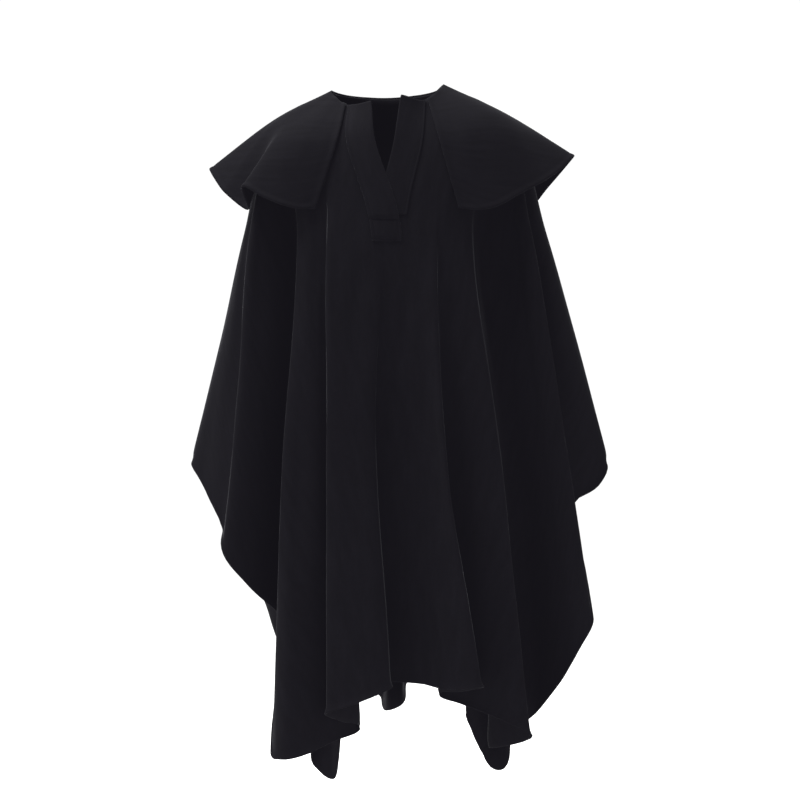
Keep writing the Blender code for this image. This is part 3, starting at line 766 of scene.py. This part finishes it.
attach(capelet_cloth, "root")
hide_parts("capelet")

# ---- The placket bands ----
# Two straight bands of the same wool finish the slit below the neck, each topstitched along its seam.
# The one on the wearer's right crosses over the other and comes down onto the panel past its end,
# where a square of stitching holds it.
BAND_WIDTH = 49 * MM
BAND_LAP = 4 * MM  # how far a band laps over the panel it is sewn to
BAND_STEP_UP = 9 * MM  # where the upper band has risen onto the band under it
BAND_SWELL = 0.15 * MM
UPPER_END_Z = -0.273
UPPER_CLEARANCE = 1 * MM  # kept from the slit's other edge where the slit is narrow
UNDER_END_Z = -0.226
UNDER_CLEARANCE = 11 * MM
TOP_RISE = 11 * MM  # how far the free top corner of the under band stands above the neckline
TOP_REACH = 45 * MM  # how far down the band it does
TOP_STEPS = 20  # the steps of its fold line from which the way up is taken
STEP_DOWN = 8 * MM  # how far the upper band takes to come down past the end of the under one

# How many layers of cloth the outer face of a band is above the panel.
Layers = namedtuple("Layers", "at_lap risen at_edge")
UPPER_LAYERS = Layers(1.15, 2.15, 2.15)
UNDER_LAYERS = Layers(1.15, 1.05, 1.05)
DOWN_LAYERS = 1.12  # all across the upper band past the end of the under one

SLIT_COLUMNS = 240  # of the cloth that a band is laid on, across the slit and the fold beside it
BAND_PITCH = 3 * MM
BAND_RIM = 12 * MM  # from here to its end a band has the rows of the rim
SIDE_STEP = 0.006  # the first step in from each long edge, as a share of the width

STITCH_INSET = 5.5 * MM  # a line of stitches from the edge that it follows
STITCH_DENT = 0.9 * MM
DENT_BREADTH = 2 * MM
BOX_FOOT = 3 * MM  # the lowest line of the square from the band's end
BOX_HEIGHT = 39 * MM  # and its highest line
BOX_DENT = 1.5 * MM
BOX_DENT_BREADTH = 2.2 * MM
BOX_FADE = 3 * MM  # how far below its highest line the square's side line is pressed in full
BOX_PUFF = 0.9 * MM  # how far the cloth inside the square stands up between its stitches


def pressed_along(distance, depth, breadth):
    """How deep a line of stitches presses the cloth at a distance from it."""
    return depth * np.exp(-((distance / breadth) ** 2))


def band(name, seam, edge, end_z, clearance, layers, boxed, material):
    """A placket band sewn along fold line `seam` and laid towards fold line `edge`.

    A `boxed` band has the square of stitches and comes down past the end of the other band, whose
    free top corner stands up. Also returns the band's outer face: the points, the ways out of
    them, and how far each is from the seam and from the band's end.
    """
    toward = 1 if edge > seam else -1
    base = loft(fold_lines, fold_crowns, np.linspace(seam - toward, edge, SLIT_COLUMNS + 1), True)
    out = outward(base) if toward > 0 else -outward(base)
    seam_column = round(SLIT_COLUMNS / (abs(edge - seam) + 1))
    line = base[seam_column]
    down = lengths_down(line[None])[0]
    total = float(np.interp(-end_z, -line[:, 2], down))
    even = np.linspace(0, total - BAND_RIM, int(total / BAND_PITCH))
    rows = np.r_[even, total - np.array([row for row in RIM_ROWS if row < BAND_RIM])[::-1]]
    steps = np.interp(rows, down, np.arange(len(down)))
    low = np.minimum(steps.astype(int), len(down) - 2)
    part = (steps - low)[None, :, None]
    base = base[:, low] * (1 - part) + base[:, low + 1] * part
    out = unit(out[:, low] * (1 - part) + out[:, low + 1] * part)
    reach = lengths_across(base)
    reach = reach - reach[seam_column]
    width = np.minimum(BAND_WIDTH, reach[-1] - clearance)
    share = spaced(1.0, SIDE_STEP, SIDE_STEP, BAND_PITCH / BAND_WIDTH)
    outer = np.zeros((len(share), len(rows), 3))
    lift = np.zeros_like(outer)
    for j in range(len(rows)):
        places = -BAND_LAP + share * (width[j] + BAND_LAP)
        outer[:, j] = read_at(base[:, j], reach[:, j], places)
        lift[:, j] = unit(read_at(out[:, j], reach[:, j], places))
        down_by = ease((total - rows[j] - UNDER_END_Z + UPPER_END_Z) / -STEP_DOWN) if boxed else 0
        risen = np.array(layers) * (1 - down_by) + DOWN_LAYERS * down_by
        height = np.interp(places, (-BAND_LAP, BAND_STEP_UP, width[j]), risen)[:, None]
        outer[:, j] += lift[:, j] * height * (CLOTH + SEAM_GAP)
        if not boxed:
            rise = TOP_RISE * ease(share) * (1 - ease(rows[j] / TOP_REACH))
            outer[:, j] += unit(line[0] - line[TOP_STEPS]) * rise[:, None]
    from_seam = share[:, None] * (width + BAND_LAP)[None, :]
    from_edge = (1 - share[:, None]) * (width + BAND_LAP)[None, :]
    from_end = (rows[-1] - rows)[None, :] + np.zeros_like(from_seam)
    dent = pressed_along(from_seam - STITCH_INSET, STITCH_DENT, DENT_BREADTH)
    if boxed:
        above_foot = ease((from_end - BOX_FOOT) / DENT_BREADTH + 1)
        dent *= above_foot
        for line_above in (BOX_FOOT, BOX_HEIGHT):
            dent = np.maximum(dent, pressed_along(from_end - line_above, BOX_DENT, BOX_DENT_BREADTH))
        in_box = ease((BOX_HEIGHT - from_end) / BOX_FADE) * above_foot
        dent = np.maximum(dent, pressed_along(from_edge - STITCH_INSET, in_box * BOX_DENT, DENT_BREADTH))
        puff = np.sin(np.clip(from_end / BOX_HEIGHT, 0, 1) * pi)
        puff = puff * np.sin(np.clip(from_seam / BAND_WIDTH, 0, 1) * pi)
        dent -= BOX_PUFF * np.maximum(puff, 0)
    half = half_thickness(np.minimum(np.minimum(from_seam, from_edge), from_end), BAND_SWELL, 0)
    middle = outer - lift * (CLOTH / 2) - lift * (dent / 2)[..., None]
    half = half - dent / 2 * np.minimum(1, half / (CLOTH / 2))
    if toward < 0:
        middle, half = middle[::-1], half[::-1]
    piece = cloth_piece(name, middle, half, material)
    return piece, (outer - lift * dent[..., None], lift, from_seam, from_end)


wool_band = wool_cloth("wool_band")
band_upper, upper_face = band(
    "band_upper", CUT_LEFT, CUT_RIGHT, UPPER_END_Z, UPPER_CLEARANCE, UPPER_LAYERS, True, wool_band
)
band_under, under_face = band(
    "band_under", CUT_RIGHT, CUT_LEFT, UNDER_END_Z, UNDER_CLEARANCE, UNDER_LAYERS, False, wool_band
)
for piece, node in ((band_upper, "placket_upper"), (band_under, "placket_under")):
    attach(piece, "root")
    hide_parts(node)

# The topstitching: one stitch of round thread, whose ends dip into the cloth, and then its copies.
STITCH_PITCH = 4.4 * MM
STITCH_LENGTH = 3.4 * MM
STITCH_SIDES = 6
STITCH_CUTS = 4
END_TAPER = 0.4  # the share of its thickness that a stitch loses at its ends
END_DIP = 0.6 * MM
THREAD_RADIUS = 0.38 * MM
THREAD_RISE = 0.3  # how far its middle is above the cloth, as a share of its radius
THREAD_COLOUR = (0.0010, 0.0009, 0.0012, 1)
THREAD_ROUGHNESS = 0.85
THREAD_SHINE = 0.01
FIRST_STITCH = 8 * MM  # below the neckline
LAST_STITCH = 6 * MM  # above the end of the under band
LOOK_AHEAD = 0.2  # the share of a stitch's pitch over which its heading is taken

bpy.ops.object.select_all(action="DESELECT")
bpy.ops.mesh.primitive_cylinder_add(
    vertices=STITCH_SIDES,
    radius=THREAD_RADIUS,
    depth=STITCH_LENGTH,
    end_fill_type="TRIFAN",
    rotation=(0, pi / 2, 0),
)
stitch = bpy.context.object
stitch.name = "band_stitch"
bpy.ops.object.transform_apply(location=True, rotation=True, scale=True)
bpy.ops.object.mode_set(mode="EDIT")
bpy.ops.mesh.select_mode(type="EDGE")
bpy.ops.mesh.select_all(action="DESELECT")
bpy.ops.object.mode_set(mode="OBJECT")
for edge in stitch.data.edges:
    first, last = (stitch.data.vertices[index].co for index in edge.vertices)
    edge.select = abs(first.x - last.x) > STITCH_LENGTH / 2
bpy.ops.object.mode_set(mode="EDIT")
bpy.ops.mesh.subdivide(number_cuts=STITCH_CUTS)
bpy.ops.object.mode_set(mode="OBJECT")
for vertex in stitch.data.vertices:
    near_end = ease(abs(vertex.co.x) / STITCH_LENGTH * 3 - 0.5)  # 0 in the middle third, 1 at the ends
    vertex.co.y *= 1 - END_TAPER * near_end
    vertex.co.z = vertex.co.z * (1 - END_TAPER * near_end) - END_DIP * near_end
stitch.data.shade_smooth()
thread = bpy.data.materials.new("black_thread")
thread.use_nodes = True
thread_shader = thread.node_tree.nodes["Principled BSDF"]
thread_shader.inputs["Base Color"].default_value = THREAD_COLOUR
thread_shader.inputs["Roughness"].default_value = THREAD_ROUGHNESS
thread_shader.inputs["Specular IOR Level"].default_value = THREAD_SHINE
stitch.data.materials.append(thread)


def on_band(face, aside, above):
    """A point on a band's face and the way out of it, by its distances from the seam and the end."""
    points, lift, from_seam, from_end = face
    row = np.interp(above, from_end[0, ::-1], np.arange(from_end.shape[1])[::-1])
    low = min(int(row), from_end.shape[1] - 2)
    found = []
    for values in (points, lift):
        ends = [read_at(values[:, j], from_seam[:, j], [aside])[0] for j in (low, low + 1)]
        found.append(Vector(ends[0] * (low + 1 - row) + ends[1] * (row - low)))
    return found


def sew(face, start, stop):
    """Copies of the stitch at an even pitch between two places on a band's face."""
    start, stop = np.array(start), np.array(stop)
    count = round(np.linalg.norm(stop - start) / STITCH_PITCH)
    sewn = []
    for k in range(count):
        centre = start + (stop - start) * (k + 0.5) / count
        spot, out = on_band(face, *centre)
        further, _ = on_band(face, *(centre + (stop - start) * LOOK_AHEAD / count))
        ahead = (further - spot).normalized()
        aside = out.cross(ahead).normalized()
        turned = Matrix((ahead, aside, ahead.cross(aside))).transposed().to_4x4()
        copy = stitch.copy()
        copy.data = stitch.data.copy()
        copy.data.transform(Matrix.Translation(spot + out * THREAD_RADIUS * THREAD_RISE) @ turned)
        bpy.context.scene.collection.objects.link(copy)
        sewn.append(copy)
    return sewn


upper_top, under_top = (face[3].max() - FIRST_STITCH for face in (upper_face, under_face))
far_inset = BAND_WIDTH - STITCH_INSET + BAND_LAP
upper_route = [
    (STITCH_INSET, upper_top),
    (STITCH_INSET, BOX_HEIGHT),
    (far_inset, BOX_HEIGHT),
    (far_inset, BOX_FOOT),
    (STITCH_INSET, BOX_FOOT),
    (STITCH_INSET, BOX_HEIGHT),
]
stitches = []
for start, stop in zip(upper_route, upper_route[1:]):
    stitches += sew(upper_face, start, stop)
stitches += sew(under_face, (STITCH_INSET, under_top), (STITCH_INSET, LAST_STITCH))
bpy.ops.object.select_all(action="DESELECT")
for piece in stitches:
    piece.select_set(True)
stitch.select_set(False)
bpy.context.view_layer.objects.active = stitches[0]
bpy.ops.object.join()
topstitching = bpy.context.object
topstitching.name = "topstitching"
bpy.data.objects.remove(stitch)
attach(topstitching, "root")
